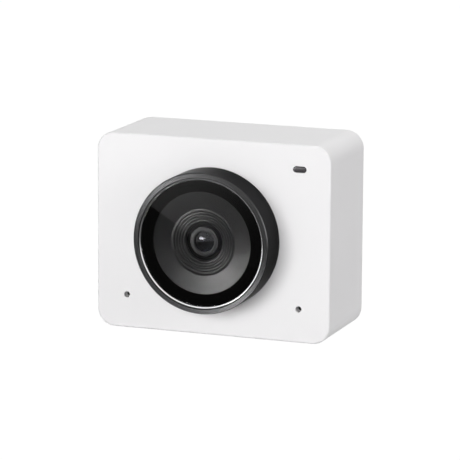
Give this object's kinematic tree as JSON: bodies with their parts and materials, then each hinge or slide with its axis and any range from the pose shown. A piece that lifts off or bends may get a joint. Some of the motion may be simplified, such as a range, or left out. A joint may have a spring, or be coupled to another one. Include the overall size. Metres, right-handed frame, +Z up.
{
  "type": "webcam",
  "caption": "Box-shaped webcam with a round turned metal lens bezel, microphone holes, a status light and an autofocus camera inside.",
  "frame": {"origin": "under the middle of the whole camera, lens bezel included, on the surface it stands on", "axes": "+X to the right as seen from the front, -Y is where the lens looks, +Z up"},
  "size_m": [0.05, 0.0276, 0.0402],
  "materials": {
    "white_shell": "satin white moulded plastic",
    "bezel_metal": "black anodised, fine turned lines",
    "trim_metal": "polished",
    "window_glass": "clear, coated",
    "mask_black": "black printed film",
    "funnel_black": "satin black moulded plastic",
    "foam_black": "closed-cell foam",
    "motor_steel": "drawn sheet steel, black plated",
    "spring_metal": "blackened spring steel",
    "motor_plastic": "black moulded plastic",
    "coil_copper": "enamelled copper wire",
    "magnet_nickel": "nickel plated",
    "barrel_black": "black moulded plastic",
    "lens_glass": "coated lens glass",
    "filter_glass": "coated filter glass",
    "sensor_silicon": "silicon under glass",
    "circuit_board": "solder mask",
    "pad_grey": "soft heat pad",
    "spreader_metal": "rolled sheet",
    "ribbon_film": "polyimide film",
    "chip_black": "moulded chip",
    "component_grey": "small parts",
    "connector_black": "moulded connector",
    "socket_steel": "drawn stainless steel",
    "socket_black": "moulded core",
    "led_lamp": "cast lamp",
    "pipe_smoke": "smoke tinted acrylic",
    "insert_brass": "turned brass",
    "mesh_steel": "fine woven mesh",
    "microphone_metal": "plated can",
    "screw_steel": "zinc plated",
    "screw_dark": "black plated"
  },
  "bodies": {
    "camera_body": {"front_housing": "white_shell", "rear_cover": "white_shell", "tripod_insert": "insert_brass", "lens_bezel": "bezel_metal", "trim_ring": "trim_metal", "cover_glass": "window_glass", "glass_mask": "mask_black", "lens_funnel": "funnel_black", "module_gasket": "foam_black", "actuator_can": "motor_steel", "actuator_frame": "motor_plastic", "upper_leaf_spring": "spring_metal", "lower_leaf_spring": "spring_metal", "actuator_magnets": "magnet_nickel", "actuator_base": "motor_plastic", "infrared_filter": "filter_glass", "image_sensor": "sensor_silicon", "sensor_board": "circuit_board", "sensor_board_screws": "screw_steel", "thermal_pad": "pad_grey", "heat_spreader": "spreader_metal", "spreader_screws": "screw_steel", "sensor_flex": "ribbon_film", "main_board": "circuit_board", "board_screws": "screw_steel", "processor_chip": "chip_black", "memory_chip": "chip_black", "board_components": "component_grey", "board_connectors": "connector_black", "usb_socket_shell": "socket_steel", "usb_socket_tongue": "socket_black", "status_led": "led_lamp", "led_light_pipe": "pipe_smoke", "microphones": "microphone_metal", "microphone_boards": "circuit_board", "microphone_gaskets": "foam_black", "microphone_meshes": "mesh_steel", "microphone_screws": "screw_steel", "microphone_flexes": "ribbon_film", "cover_screws": "screw_dark", "bezel_screws": "screw_steel"},
    "lens_group": {"lens_carrier": "motor_plastic", "actuator_coil": "coil_copper", "lens_barrel": "barrel_black", "front_lens_element": "lens_glass", "second_lens_element": "lens_glass", "third_lens_element": "lens_glass", "fourth_lens_element": "lens_glass", "lens_spacers": "barrel_black", "lens_retainer": "barrel_black"}
  },
  "joints": [
    {"name": "autofocus_slide", "type": "slide", "parent": "camera_body", "child": "lens_group", "axis": [0, -1, 0], "range_m": [0, 0.00035], "stiffness_N_per_m": 120, "deforming": ["upper_leaf_spring", "lower_leaf_spring"]}
  ]
}
